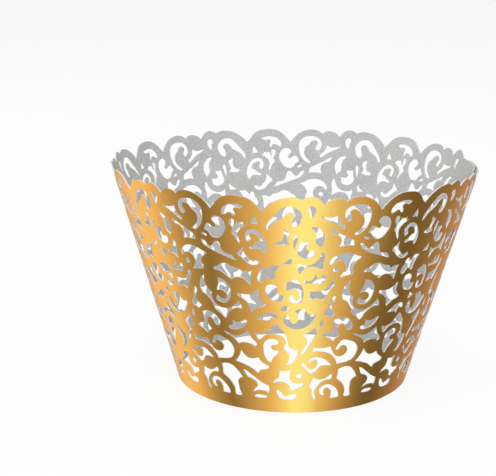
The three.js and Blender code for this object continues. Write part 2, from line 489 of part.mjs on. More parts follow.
function sheetGeometry() {
  const edge = sheetEdge();
  const cut = openings();
  const rests = [];
  for (const cup of [...INNER_COLUMNS, ...OUTER_COLUMNS]) {
    for (const up of PLAIN_ROWS) rests.push([[cup, up]]);
  }
  const rings = [edge, ...cut, ...rests];
  const places = rings.flat();
  const points = places.map(flat);
  const inner = [...cut, ...rests].map((ring) => ring.map(flat));
  const triangles = THREE.ShapeUtils.triangulateShape(edge.map(flat), inner).map((t) =>
    turnsLeft(points[t[0]], points[t[1]], points[t[2]]) ? t : [t[0], t[2], t[1]],
  );
  evenOut(points, triangles);

  const position = [];
  for (const side of [1, -1]) for (const place of places) position.push(...onCone(place, side));
  const back = places.length;
  const index = [];
  const edges = new Set();
  for (const [a, b, c] of triangles) {
    index.push(a, b, c, c + back, b + back, a + back);
    edges.add(`${a}_${b}`);
    edges.add(`${b}_${c}`);
    edges.add(`${c}_${a}`);
  }
  for (const key of edges) {
    const [a, b] = key.split("_").map(Number);
    if (edges.has(`${b}_${a}`)) continue;
    index.push(b, a, a + back, b, a + back, b + back);
  }
  const geometry = new THREE.BufferGeometry();
  geometry.setAttribute("position", new THREE.Float32BufferAttribute(position, 3));
  geometry.setIndex(index);
  geometry.computeVertexNormals();
  return geometry;
}

const gold = new THREE.MeshStandardMaterial({ color: 0xd9a441, metalness: 0.85, roughness: 0.38 });
const wrapper = new THREE.Mesh(sheetGeometry(), gold);
wrapper.name = "wrapper";

const part = new THREE.Group();
part.name = "cupcake_wrapper";
part.add(wrapper);

export default part;
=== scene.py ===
"""A lace cupcake wrapper: one gold foil card, cut into scrollwork and rolled into an open cup."""

from __future__ import annotations

import logging
import math
from dataclasses import dataclass, field
from enum import Enum
from typing import Iterable, Sequence

import bmesh
import bpy
from mathutils import Matrix, Vector

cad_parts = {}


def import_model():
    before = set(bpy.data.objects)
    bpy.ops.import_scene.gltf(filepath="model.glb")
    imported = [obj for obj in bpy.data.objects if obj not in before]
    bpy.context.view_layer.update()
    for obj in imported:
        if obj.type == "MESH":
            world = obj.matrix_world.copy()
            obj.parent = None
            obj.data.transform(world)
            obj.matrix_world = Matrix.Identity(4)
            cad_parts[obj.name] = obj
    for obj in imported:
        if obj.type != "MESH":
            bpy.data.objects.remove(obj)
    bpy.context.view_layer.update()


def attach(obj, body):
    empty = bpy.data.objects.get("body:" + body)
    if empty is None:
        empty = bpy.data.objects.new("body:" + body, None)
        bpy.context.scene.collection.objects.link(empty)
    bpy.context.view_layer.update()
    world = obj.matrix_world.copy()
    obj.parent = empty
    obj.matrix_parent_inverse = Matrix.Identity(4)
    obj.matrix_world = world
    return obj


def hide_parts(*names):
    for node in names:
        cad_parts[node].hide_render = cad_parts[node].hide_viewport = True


LOG = logging.getLogger("lace_cupcake_wrapper")
MM = 0.001
SHARP = 1
CARD_MAP = "card"
CUP_MIDDLE = (0.0, 0.0, 0.03)

# Millimetres on the card's own map for each degree round the cup.
MAP_PER_DEGREE = 0.6

Outline = Sequence[tuple]
Triple = tuple[float, float, float]

# Cup angle, distance up the slant, and SHARP for a sharp corner or 0 for a smooth point.
Place = tuple[float, float, int]
Places = list[Place]

# One repeat of the scrollwork on the flat card, in millimetres: x across, y up from the lower edge.
# A third value marks a sharp corner; the outline is smooth at every other point.
OPENINGS: dict[str, Outline] = {
    "left_volute": (
        (-11.8, 45.3, SHARP), (-11.95, 46.4), (-11.4, 47.6), (-10.6, 48.8), (-9.8, 50),
        (-8.9, 50.95), (-7.8, 51.3), (-6.6, 51.15), (-5.6, 50.5), (-4.95, 49.4), (-5.05, 48.2),
        (-5.6, 47.1), (-6.4, 46.65), (-6.95, 47.2), (-6.8, 48.2), (-6.5, 49.1), (-6.8, 49.8),
        (-7.6, 49.9), (-8.2, 49.4), (-8.7, 48.5, SHARP), (-9.8, 47.75), (-10.7, 47), (-11.3, 46),
    ),
    "lobe_slot": (
        (-3.75, 51.2), (-3.15, 51.55), (-2.5, 51.3), (-2.25, 50.4), (-2.5, 49.5),
        (-2.95, 48.75, SHARP), (-3.4, 49.3), (-3.45, 50.1), (-3.75, 50.6),
    ),
    "lobe_wedge": (
        (-1.25, 49.45, SHARP), (-0.2, 49.05), (1.2, 48.95), (2.4, 49.4, SHARP), (2.65, 48.3),
        (3.25, 47.4), (3.95, 46.75), (3.7, 46.2), (2.9, 46.65), (1.9, 47.45), (0.6, 48.15),
        (-0.6, 48.75),
    ),
    "right_volute": (
        (4.6, 47.85), (3.85, 48.7), (3.7, 49.7), (4.1, 50.7), (4.9, 51.3), (6.2, 51.55),
        (7.5, 51.4), (8.6, 50.8), (9.3, 49.7), (9.35, 48.2), (9, 46.8), (8.3, 45.6), (7.4, 44.8),
        (6.5, 44.45), (6, 44.75, SHARP), (7.1, 45.7), (7.8, 46.6), (7.95, 47.6), (7.7, 48.5),
        (7.2, 49), (6.75, 49.5), (6.2, 50.25), (5.3, 50.45), (4.75, 49.9), (4.85, 49.4),
        (5.15, 48.8), (5.1, 48.2),
    ),
    "arch_crescent": (
        (13.9, 48.15, SHARP), (13.85, 49), (14.4, 49.85), (15.3, 50.4), (16.5, 50.6),
        (17.7, 50.45), (19, 49.95, SHARP), (18, 49.45), (17, 49.75), (16.6, 49.4), (16.75, 48.6),
        (16.65, 47.95), (16.2, 48), (15.9, 48.6), (15.2, 48.65), (14.6, 48.3),
    ),
    "round_crescent": (
        (9.95, 46.15, SHARP), (9.4, 45.5), (9, 44.75, SHARP), (9.8, 44.15), (10.3, 43.2),
        (11.3, 42.75), (12.4, 43), (13.3, 43.9), (13.9, 44.9), (14.1, 46), (13.8, 47),
        (13.1, 47.7), (12.3, 47.95), (11.5, 47.6), (11.2, 47), (11.6, 46.3), (11.9, 45.8),
        (11.6, 45.35), (11.1, 45.4), (10.6, 45.9),
    ),
    "small_slit": (
        (8.2, 43.85), (8.7, 43.8), (9.3, 43.3), (9.2, 43.05), (8.7, 43.15), (8.3, 43.45),
    ),
    "upper_triangle": (
        (-14.4, 48.4, SHARP), (-13.95, 47.4), (-13.75, 46.5, SHARP), (-14.5, 46.6),
        (-15.25, 46.5, SHARP), (-14.9, 47.4),
    ),
    "upper_fork": (
        (15.6, 47.25), (16.15, 47), (16.1, 46.2), (15.95, 45.3, SHARP), (16.35, 45.9),
        (16.7, 46.65, SHARP), (17.3, 46.3), (18.05, 46.35, SHARP), (18.2, 45.75),
        (18.8, 45.75, SHARP), (18.1, 45.35), (17.2, 44.85), (16.5, 44.1), (16.3, 43.1),
        (16.45, 42.2), (16.25, 41.4, SHARP), (15.9, 42.2), (15.6, 43.2), (15.1, 44.1),
        (15.45, 45.1), (15.1, 46.2), (15.2, 46.95),
    ),
    "spiral_comma": (
        (-15.6, 42.2), (-16.1, 43.1), (-16.15, 44), (-15.7, 44.8), (-14.8, 45.2), (-13.9, 45.05),
        (-13, 44.5), (-12.2, 43.5), (-11.7, 42.4), (-11.5, 41.3), (-11.65, 40.5),
        (-12, 39.85, SHARP), (-12.5, 40.55), (-13.1, 40.9), (-14, 40.8), (-14.9, 40.55),
        (-15.3, 40.95, SHARP), (-14.3, 41.6), (-13.7, 42.3), (-12.95, 42.7, SHARP), (-13.5, 43.8),
        (-14.3, 44.2), (-15, 44.25), (-15.35, 43.7), (-15, 43.1), (-15.05, 42.5),
    ),
    "inner_star": (
        (-8.35, 46.2, SHARP), (-7.9, 45.7), (-7.3, 45.5), (-7.25, 44.8), (-7.55, 44), (-7.5, 43.3),
        (-7, 42.65, SHARP), (-7.9, 42.4), (-9.1, 42.2), (-9.9, 42.45, SHARP), (-9.6, 42.95),
        (-8.8, 43.3), (-8.4, 44), (-8.35, 45), (-8.5, 45.6),
    ),
    "inner_sliver": (
        (-5.9, 44.85, SHARP), (-5.5, 44.2), (-5.55, 43.4), (-5.8, 42.3), (-5.9, 41.2, SHARP),
        (-6.25, 42.1), (-6.35, 43.2), (-6.35, 44.1),
    ),
    "inner_lens": (
        (-3.1, 46.75, SHARP), (-2.2, 46.85), (-1.2, 46.35), (-0.4, 45.4), (-0.05, 44.3),
        (-0.2, 43.3), (-0.65, 41.9, SHARP), (-1.3, 42.6), (-1.8, 43.2), (-1.8, 44.5), (-2, 45.5),
        (-2.4, 46.1),
    ),
    "inner_volute": (
        (-4.95, 43.3, SHARP), (-4.2, 43.2), (-3.3, 43.25, SHARP), (-3.3, 42.6), (-3.65, 42.2),
        (-3.6, 41.6), (-3.1, 41.3), (-2.1, 41.5, SHARP), (-1.95, 40.8), (-2.15, 40), (-2.8, 39.5),
        (-3.6, 39.4), (-4.5, 39.7), (-5.2, 40.3), (-5.4, 41.1), (-5.15, 42.1),
    ),
    "right_flame": (
        (0.75, 46.5, SHARP), (1.7, 46), (2.9, 45.15), (4.1, 44.5), (5.2, 43.8), (6.1, 43.2),
        (6.3, 42, SHARP), (5, 42.15), (4, 42.15), (3, 41.95, SHARP), (3.35, 42.8), (3.45, 43.6),
        (3.1, 44.4), (2.4, 44.95), (1.5, 45.1),
    ),
    "right_wave": (
        (7.55, 42.4, SHARP), (8.3, 42.15), (8.8, 41.4), (9.4, 40.85), (10.1, 41.2), (10.7, 41.85),
        (11.4, 42), (11.85, 41.4), (11.9, 40.6), (12.3, 39.6), (13.2, 39.1), (13.9, 38.9),
        (14.8, 37.45, SHARP), (13.7, 37.95), (12.4, 38.6), (11, 39.25), (9.6, 39.95), (8.5, 40.6),
        (7.75, 41.4),
    ),
    "side_hook": (
        (17, 40.9, SHARP), (16.85, 40), (16.95, 39), (17.6, 38), (18.3, 37.2), (19.2, 37.5),
        (19.75, 37.2), (19.3, 36.6), (18.4, 36.3), (17.2, 36.75), (16.5, 37.6), (15.9, 38.4),
        (15.2, 39, SHARP), (15.4, 39.5), (16.1, 40.05),
    ),
    "small_leaf": (
        (-6.6, 39.75, SHARP), (-6.35, 38.9), (-6.6, 37.95), (-7.5, 37.9), (-8.35, 37.85, SHARP),
        (-7.9, 38.2), (-7.2, 38.8),
    ),
    "left_bird": (
        (-12.6, 36.2), (-12, 36.75), (-11.5, 36.3), (-11.4, 35.75, SHARP), (-11.1, 36.5),
        (-10.5, 37.2), (-9.7, 37.4), (-8.8, 37.35, SHARP), (-9.3, 36.5), (-9.65, 35.4),
        (-9.7, 34.3), (-9.9, 33.75), (-10.4, 33.75), (-10.9, 34.2), (-11.4, 34.2), (-11.8, 33.5),
        (-12.2, 32.95), (-12.8, 32.95), (-13.25, 33.6), (-13.1, 34.6), (-12.75, 35.3),
    ),
    "centre_bird": (
        (-0.2, 41, SHARP), (0.25, 40.2), (0.35, 39.2), (0.1, 38), (0.2, 36.5, SHARP),
        (-0.6, 36.95), (-1.3, 37.4), (-2.3, 37.5), (-3.3, 37.3), (-4, 36.7), (-4.6, 35.6, SHARP),
        (-5, 36.4), (-5.2, 38.3, SHARP), (-4.4, 37.95), (-3.2, 37.8), (-2.2, 38.1), (-1.3, 38.8),
        (-0.8, 39.6), (-0.55, 40.4),
    ),
    "right_arch": (
        (1.5, 37.7, SHARP), (1.4, 38.5), (1.9, 39.4), (2.8, 40.1), (4, 40.45), (5.3, 40.4),
        (6.4, 40), (7.3, 39.45), (8.4, 39, SHARP), (7.5, 38.5), (6.8, 37.8), (6.4, 36.9),
        (6.7, 35.7), (6.55, 35.1, SHARP), (5.2, 34.95), (3.7, 34.6, SHARP), (4.2, 35.5),
        (4.75, 36.3), (4.75, 37.4), (4.3, 38.2), (3.4, 38.65), (2.5, 38.5), (1.9, 37.95),
    ),
    "arch_dot": (
        (2.9, 37.2), (3.4, 36.75), (3.2, 36.2), (2.7, 36), (2.2, 36.4), (2.4, 37),
    ),
    "long_leaf": (
        (9.05, 35.3), (9.3, 35.8), (10.2, 36.15), (11.1, 36.7), (12.2, 36.85), (13.1, 36.4),
        (14.1, 35.85), (15, 35.5), (15.4, 34.95), (16.5, 35.05), (17.6, 34.9, SHARP), (17.15, 34),
        (16.95, 32.9), (16.65, 31.5, SHARP), (16.1, 32.3), (15.5, 33.05), (14.7, 33.45),
        (13.7, 33.5), (12.7, 32.9, SHARP), (12, 33.6), (11.1, 34.45), (10.1, 35.1),
    ),
    "left_kidney": (
        (-11.45, 31.2), (-11.2, 32.2), (-10.5, 32.65), (-9.7, 32.6), (-9, 32.2), (-8.85, 31.5),
        (-9, 30.9), (-8.5, 30.35), (-7.65, 30.35, SHARP), (-7.5, 29.5), (-7.9, 28.8),
        (-8.9, 28.65), (-9.9, 28.8), (-10.7, 29.35), (-11.2, 30.2),
    ),
    "centre_volute": (
        (-7.7, 33.15, SHARP), (-6.6, 33.8), (-5.6, 34.3), (-4.8, 34), (-4.2, 33.2), (-3.7, 32),
        (-3.5, 30.8), (-3.6, 29.6), (-4, 28.8), (-4.9, 28.5), (-5.8, 28.55), (-6.2, 29.1),
        (-6.3, 30), (-5.9, 30.6), (-5.5, 30.2), (-5.35, 29.4), (-4.8, 29.15), (-4.35, 29.6),
        (-4.3, 30.5), (-4.6, 31.4), (-5.3, 31.95), (-6.1, 31.85), (-6.95, 31.4, SHARP),
        (-7.1, 32.1), (-7.15, 32.7),
    ),
    "centre_crown": (
        (-3.6, 34.2), (-2.7, 34.05), (-1.9, 34.4), (-1.25, 35.8, SHARP), (-0.95, 34.9),
        (-0.5, 34.4), (-0.1, 34.9), (0.3, 35.5), (0.8, 35), (0.75, 34.1), (0.2, 33.45),
        (-1.1, 33.4), (-2.6, 33.45), (-3.6, 33.6),
    ),
    "centre_bow": (
        (-2.25, 31.55, SHARP), (-0.8, 31.55), (0.5, 31.7), (1.2, 32.3), (1.8, 33.2), (2.3, 34.15),
        (2.9, 33.7), (2.7, 32.8), (2.1, 32), (1.6, 31), (1.1, 30), (0.6, 29.15, SHARP), (0, 29.65),
        (-0.9, 29.8), (-2.1, 29.25, SHARP), (-2.25, 30), (-2.1, 30.8),
    ),
    "drop_dart": (
        (3.05, 30.45, SHARP), (3.35, 29.6), (2.95, 28.7), (2.65, 27.8), (2.75, 26.9), (3.2, 26.2),
        (3.75, 25.75, SHARP), (3.1, 25.2), (2.7, 24.8, SHARP), (2.1, 25.2), (1.3, 25.4, SHARP),
        (1.2, 26.3), (1.7, 27.2), (2.1, 28.2), (2.4, 29.2), (2.7, 29.9),
    ),
    "drop_oval": (
        (0.9, 24.6, SHARP), (1.15, 23.9), (1.1, 23.3), (0.7, 22.4, SHARP), (0.35, 23.1),
        (0.45, 23.9),
    ),
    "swan": (
        (6.35, 33.75, SHARP), (5.6, 33.2), (4.95, 32.2), (4.55, 31), (4.55, 29.8), (4.85, 29.2),
        (5.7, 28.6), (6.3, 27.8), (6.8, 26.8), (7.05, 25.6), (7.4, 25.05), (8.2, 24.4),
        (9.15, 23.2, SHARP), (9.7, 23.8), (10.3, 24.8), (11.1, 25.45), (12.2, 26),
        (13.6, 25.8, SHARP), (13.5, 26.8), (13.05, 27.75, SHARP), (12.4, 27), (11.3, 26.2),
        (9.9, 25.85), (8.6, 26), (7.7, 26.7), (7.15, 27.8), (7.05, 28.8), (7.25, 29.6, SHARP),
        (6.5, 30.3), (6.1, 31.3), (6, 32.5),
    ),
    "swan_volute": (
        (9.55, 33.35, SHARP), (10.5, 33), (11.3, 32.3), (11.8, 31.2), (11.9, 30), (11.6, 28.8),
        (10.95, 27.75), (10, 27.15), (9, 27.25), (8.1, 27.85), (8.2, 28.6), (8.6, 29.1, SHARP),
        (9.1, 28.45), (9.8, 28.1), (10.5, 28.4), (10.8, 29.1), (10.4, 29.85), (9.6, 30.25),
        (8.5, 30.1, SHARP), (8.9, 31), (9.35, 31.9),
    ),
    "side_star": (
        (13.35, 29.7, SHARP), (14.3, 29.5), (15.3, 29.3), (16.4, 29.45), (17.3, 30),
        (18.15, 30.6, SHARP), (18, 29.7), (17.8, 28.8), (18.1, 27.8), (19, 26.7, SHARP),
        (18.3, 26.25), (17.2, 26.05), (15.6, 24.95, SHARP), (15.35, 26), (15.2, 27), (14.6, 27.9),
        (13.8, 28.7), (13.2, 29.25),
    ),
    "tiny_leaf": (
        (-7.25, 27.9, SHARP), (-6.7, 27.45), (-5.9, 27.05, SHARP), (-6.7, 26.7), (-7.4, 26.35),
        (-7.95, 26.8), (-7.7, 27.4),
    ),
    "great_hook": (
        (-5, 26.75, SHARP), (-4.2, 27.1), (-3, 27.2, SHARP), (-2.4, 26.2), (-1.7, 25.7),
        (-0.8, 26, SHARP), (-0.6, 25.3), (-1, 24.5), (-1.5, 23.6), (-2.3, 22.8), (-3.3, 22.2),
        (-4.5, 21.95), (-5.6, 22.2), (-6.6, 22.8), (-7.2, 23.7), (-7.25, 24.7),
        (-6.55, 25.75, SHARP), (-6.1, 25), (-5.8, 24), (-5.2, 23.4), (-4.6, 23.6), (-4.25, 24.4),
        (-4.3, 25.4), (-4.6, 26.1),
    ),
    "left_crest": (
        (-13.15, 23.45, SHARP), (-12.3, 24.2), (-11.6, 25.1), (-10.7, 25.55), (-9.8, 25.75),
        (-9, 25.45), (-8.55, 24.7), (-8.8, 24.25), (-9.5, 24.5), (-9.95, 24.3),
        (-10.2, 23.1, SHARP), (-10.9, 23.55), (-12, 23.6),
    ),
    "boomerang": (
        (3.3, 24.1, SHARP), (4.4, 24.5), (5.4, 24.6), (6.4, 24.15), (7.2, 23.3), (7.65, 22.2),
        (7.4, 21.4), (6.8, 21.15), (6.3, 21.45), (5.95, 22.2), (5.5, 22.95), (4.9, 22.95),
        (4.45, 22.4), (4.35, 21.4), (4.95, 20, SHARP), (4.2, 19.5), (3.6, 18.7, SHARP), (3, 19.35),
        (2.1, 19.95), (0.8, 20.5, SHARP), (1.8, 20.95), (2.8, 21.3), (3.4, 21.9), (3.5, 22.9),
    ),
    "canoe": (
        (10.45, 23.1, SHARP), (11.2, 22.65), (12.1, 22.5), (12.9, 22.65), (13.5, 23.05),
        (14.05, 22.8, SHARP), (13.5, 21.9), (12.7, 21.1), (11.7, 20.7), (10.6, 20.55), (9.6, 20.8),
        (9.5, 21.4, SHARP), (10.3, 21.75), (10.75, 22.3),
    ),
    "long_tail": (
        (-13.2, 20.3, SHARP), (-12.3, 20.1), (-11.2, 20.4), (-10.3, 20.95), (-9.7, 21.9),
        (-9.2, 22.7), (-8.75, 23), (-8.2, 22.5), (-7.6, 21.8), (-6.9, 21.1), (-6.5, 20.1),
        (-6.1, 19), (-5.9, 17.9), (-5.4, 17.1), (-4.6, 16.8), (-3.9, 16.7, SHARP), (-3.85, 15.6),
        (-4.1, 14.4), (-4.6, 13.4), (-5.3, 12.75), (-6.2, 12.5, SHARP), (-5.7, 13.4), (-5.5, 14.5),
        (-5.7, 15.4), (-6.3, 16.3), (-6.85, 17), (-6.45, 17.9), (-6.55, 18.9), (-7.1, 19.7),
        (-8, 20.2), (-9.1, 20.35), (-10.1, 20.2), (-11, 19.7), (-11.6, 18.9), (-12.15, 18.5),
        (-12.7, 19.1),
    ),
    "centre_dart": (
        (-3.1, 20.6, SHARP), (-2.2, 21.1), (-1.4, 21.65), (-0.65, 22.4, SHARP), (-0.1, 21.7),
        (-0.2, 20.9), (-0.6, 19.8), (-1.1, 18.7), (-1.6, 17.6), (-2.2, 16.4), (-2.7, 15.3, SHARP),
        (-3, 16.1), (-2.6, 17.2), (-2.1, 18.2), (-2, 19), (-2.4, 19.9),
    ),
    "anchor_volute": (
        (-0.6, 17.35, SHARP), (0.5, 17.15), (1.8, 17.15), (3.2, 17.45, SHARP), (3.45, 16.6),
        (3.85, 15.7), (4.3, 15), (5, 14.55), (5.8, 14.55), (6.5, 14.95), (6.95, 15.7), (6.9, 16.5),
        (6.4, 17.15), (5.7, 17.3), (5.25, 16.9), (4.8, 16.35), (4.35, 16.45), (4.6, 17.3), (5, 18),
        (5.6, 18.65), (6.5, 18.7), (7.6, 18.2), (8.6, 17.5), (9.25, 16.6), (9.45, 15.5),
        (9.1, 14.2), (8.4, 13.3), (7.4, 12.85), (6.2, 12.7), (4.85, 12.55, SHARP), (4.65, 13.5),
        (4.1, 14.4), (3.5, 15.2), (2.6, 15.8), (1.5, 16.15), (0.4, 16.3), (-0.5, 16.2),
    ),
    "kite": (
        (7.95, 20.1, SHARP), (8.9, 19.7), (9.9, 19.15), (11.1, 19.05), (12.2, 19.4), (13, 19.9),
        (13.65, 20.3, SHARP), (13.95, 19.3), (14.2, 18.4), (14.7, 17.6), (15, 17), (14.5, 16.35),
        (13.8, 16.9), (12.8, 17.25), (11.8, 17.3), (10.8, 16.95, SHARP), (10.5, 17.7),
        (9.9, 18.45), (9.1, 19.05), (8.3, 19.5),
    ),
    "fish": (
        (11.05, 15.4, SHARP), (11.5, 14.5), (12.1, 13.65), (13, 13.2), (14.65, 13.45, SHARP),
        (15, 12.6), (15.6, 11.8), (16.5, 11, SHARP), (16.2, 10.4), (15.3, 10.25), (14.5, 10.1),
        (13.75, 9.3, SHARP), (13.1, 10.1), (12.3, 10.9), (11.2, 11.55), (10.2, 12.05),
        (9.15, 12.4, SHARP), (9.7, 13), (10.3, 13.8), (10.8, 14.7),
    ),
    "bean": (
        (-11.15, 17.3), (-10.8, 18.2), (-10, 18.9), (-9, 19.1), (-8.2, 18.8), (-8.1, 18.1),
        (-8.6, 17.55), (-9.3, 17.45), (-9.5, 17), (-9.2, 16.4), (-8.6, 16.2), (-7.85, 16.15),
        (-8.1, 15.3), (-8.7, 14.5), (-9.15, 13.7), (-9.2, 13.05, SHARP), (-9.8, 13.05),
        (-10.5, 13.9), (-10.95, 15), (-11.1, 16.2),
    ),
    "s_volute": (
        (-2.6, 13.6, SHARP), (-2.1, 13), (-1.7, 12.3), (-1.2, 11.85), (-0.5, 11.65), (0.1, 12),
        (0.5, 12.8), (0.6, 13.5), (0.2, 14.1), (-0.4, 13.9), (-0.9, 13.45), (-1.6, 13.3, SHARP),
        (-1.1, 14.2), (-0.4, 14.7), (0.5, 14.8), (1.4, 14.55), (2.2, 14.05), (3, 13.2),
        (3.75, 12.35, SHARP), (3, 12.4), (2.1, 12.5), (1.3, 12.35), (0.8, 11.7), (0.2, 10.9),
        (-0.5, 10.55), (-1.1, 10.8), (-1.7, 11.5), (-2.3, 12.2), (-2.9, 12.8),
    ),
    "great_star": (
        (-7.4, 11.05, SHARP), (-6.2, 11.05), (-4.8, 11.45, SHARP), (-5.1, 10.4), (-5.1, 9.3),
        (-4.7, 8.45), (-3.9, 7.95), (-3, 7.95), (-2.2, 8.15, SHARP), (-2.1, 7.4), (-2.8, 6.8),
        (-3.6, 6.3), (-4.1, 5.8, SHARP), (-4.8, 6.1), (-5, 6.9), (-5.6, 7.65), (-6.4, 8.05),
        (-7.4, 8), (-8.7, 7.4, SHARP), (-8.2, 8.4), (-7.5, 9.1), (-7.3, 10.1),
    ),
    "star_dot": (
        (-3.1, 10.5), (-2.5, 10.1), (-2.55, 9.5), (-3.1, 9.2), (-3.7, 9.5), (-3.7, 10.1),
    ),
    "low_boot": (
        (-7.6, 5.8), (-6.9, 5.5), (-6.4, 4.9), (-6, 4.35), (-5.3, 4.55), (-4.4, 4.95),
        (-3.45, 5, SHARP), (-3.4, 4.2), (-3.9, 3.55), (-5, 3.35), (-6.1, 3.35), (-6.9, 3.7),
        (-7.45, 4.4), (-7.75, 5.2),
    ),
    "arrow": (
        (10.4, 10.4, SHARP), (11.2, 10), (12, 9.15), (12.9, 8.2), (13.8, 7.2), (14.7, 6.4),
        (15.45, 5.9, SHARP), (15.4, 5), (15, 3.8, SHARP), (14.7, 4.35), (13.9, 4.7), (12.8, 4.8),
        (11.6, 4.3, SHARP), (12.1, 5.1), (12.75, 5.7), (13, 6.5), (12.6, 7.4), (11.9, 8),
        (11.2, 8.35), (10.8, 9.2),
    ),
    "low_slit": (
        (11.6, 3.1, SHARP), (12.2, 3.65), (13.2, 3.65), (14.5, 3.25, SHARP), (14.4, 2.8),
        (13.2, 2.7), (12.2, 2.85),
    ),
    "low_dart": (
        (-0.1, 9.5, SHARP), (0.7, 9), (1.7, 8.85), (2.7, 9.15), (3.85, 10.1, SHARP), (4.15, 9.4),
        (3.8, 8.7), (2.8, 8.6), (1.9, 8.1), (1.2, 7.3), (0.6, 6.3), (0.4, 5.2), (0.7, 4.3),
        (0.8, 3.2, SHARP), (0.2, 3.9), (-0.1, 5), (-0.2, 6.2), (-0.75, 7.1), (-0.5, 8),
        (-0.3, 8.8),
    ),
    "low_arch": (
        (2.2, 4.55), (1.55, 5.3), (1.45, 6.1), (2, 6.9), (2.9, 7.35), (3.8, 7.2), (4.7, 6.5),
        (5.5, 5.5), (5.95, 4.5), (5.95, 3.45, SHARP), (5, 3.45), (4, 3.45, SHARP), (4.1, 4.4),
        (4.15, 5.3), (3.7, 6.1), (3, 6.4), (2.5, 5.9), (2.5, 5.1), (2.65, 4.6),
    ),
    "mushroom": (
        (5.35, 11.1, SHARP), (6, 11.4), (7.3, 11.5), (8.2, 11.1), (8.9, 10.3), (9.5, 9.3),
        (10, 8.15, SHARP), (9.2, 7.85), (8.65, 7.1), (8.6, 6), (8.6, 4.6), (8.85, 3.3, SHARP),
        (8, 3.2), (7.3, 3.45), (7.35, 4.8), (7.1, 6), (6.5, 7.2), (5.8, 8), (5.2, 8.7),
        (5.35, 9.8),
    ),
}

# The scalloped top edge of one repeat, from left to right.
SCALLOPS: Outline = (
    (-12.85, 49.65, SHARP), (-12.1, 50.8), (-11, 51.85), (-9.6, 52.75), (-8, 53.2), (-6.6, 53.35),
    (-5.1, 52.85, SHARP), (-4.3, 53.35), (-3.2, 53.7), (-2, 53.25), (-0.65, 51.8, SHARP),
    (0.3, 52.65), (1.6, 53.1), (2.8, 53), (3.75, 52.35, SHARP), (4.9, 53.05), (6.3, 53.3),
    (7.8, 53.05), (9.3, 52.3), (10.4, 51.3), (11.55, 49.55, SHARP), (12.4, 50.4), (13.7, 51.6),
    (15.2, 52.35), (17, 52.5), (18.4, 52.25), (19.7, 51.85), (20.95, 50.8), (21.9, 49.3),
)


class Face(Enum):
    """The three surfaces of the card, by material slot."""

    FOIL = 0
    BACKING = 1
    CUT_EDGE = 2


@dataclass(frozen=True)
class Fan:
    """The flat fan that the card is cut from and the cone that it rolls into.

    Lengths are in millimetres. Cup angles are in degrees, 0 at the front.

    Attributes:
        apex: Distance from the fan's centre to the lower edge of the card.
        slant: Height of the cone, measured along its side.
        repeat_turn: Degrees of the flat fan that one repeat of the lace takes.
        repeat_cup: Degrees of the cup that the same repeat takes.
        front_repeat: Cup angle at which x is 0 in the front repeat.
        spread_from: Cup angle beyond which the repeats lie wider apart.
        spread: Share by which they do.
        card: Thickness of the card.
        lap_gap: Room between the two ends of the card in the lap.
        rise_from: Cup angle at which the outer end starts to rise over the inner one.
        rise_to: Cup angle at which it has risen.
    """

    bottom_diameter: float = 53.3
    top_diameter: float = 83.0
    height: float = 51.0
    apex: float = 95.136
    slant: float = 53.09
    repeat_turn: float = 14.0
    repeat_cup: float = 50.0
    front_repeat: float = 9.7
    spread_from: float = -65.0
    spread: float = 0.045
    card: float = 0.3
    lap_gap: float = 0.2
    rise_from: float = 50.0
    rise_to: float = 84.0

    def from_trace(self, x: float, y: float, repeat: int) -> tuple[float, float]:
        """Turns a point of the traced repeat into a place on the cup.

        Args:
            x: Distance across the repeat.
            y: Distance up the repeat.
            repeat: Which repeat of the pattern, 0 at the front.

        Returns:
            The angle round the cup in degrees and the distance up the slant.
        """
        turn = math.degrees(math.atan2(x, self.apex + y))
        even = self.front_repeat + self.repeat_cup * (repeat + turn / self.repeat_turn)
        cup = even + self.spread * min(0.0, even - self.spread_from)
        return cup, math.hypot(x, self.apex + y) - self.apex

    def flat(self, cup: float, up: float) -> Vector:
        """Returns the place on the flat fan of a cup angle and a distance up the slant."""
        turn = math.radians(cup * self.repeat_turn / self.repeat_cup)
        reach = self.apex + up
        return Vector((reach * math.sin(turn), reach * math.cos(turn), 0.0))

    def unflat(self, place: Vector) -> tuple[float, float]:
        """Returns the cup angle and the distance up the slant of a place on the flat fan."""
        turn = math.degrees(math.atan2(place.x, place.y))
        return turn * self.repeat_cup / self.repeat_turn, math.hypot(place.x, place.y) - self.apex

    def lift(self, cup: float) -> float:
        """Returns how far the outer end of the card has risen over the inner one."""
        t = min(1.0, max(0.0, (cup - self.rise_from) / (self.rise_to - self.rise_from)))
        return (self.card + self.lap_gap) * t * t * (3.0 - 2.0 * t)

    def rolled(self, cup: float, up: float, side: float) -> Vector:
        """Rolls a place on the card into the cup.

        Args:
            cup: Angle round the cup in degrees, 0 at the front.
            up: Distance up the slant.
            side: 1 on the outside of the card, -1 on the inside.

        Returns:
            The place in metres.
        """
        flare = (self.top_diameter - self.bottom_diameter) / 2.0
        along = up / self.slant
        level = self.card * math.hypot(flare, self.height) / self.height
        radius = self.bottom_diameter / 2.0 + flare * along + self.lift(cup) + side * level / 2.0
        turn = math.radians(cup)
        place = Vector((radius * math.sin(turn), -radius * math.cos(turn), self.height * along))
        return place * MM

    def outward(self, cup: float) -> Vector:
        """Returns the direction that the outside of the card faces."""
        flare = math.atan2((self.top_diameter - self.bottom_diameter) / 2.0, self.height)
        turn = math.radians(cup)
        level = math.cos(flare)
        return Vector((level * math.sin(turn), -level * math.cos(turn), -math.sin(flare)))


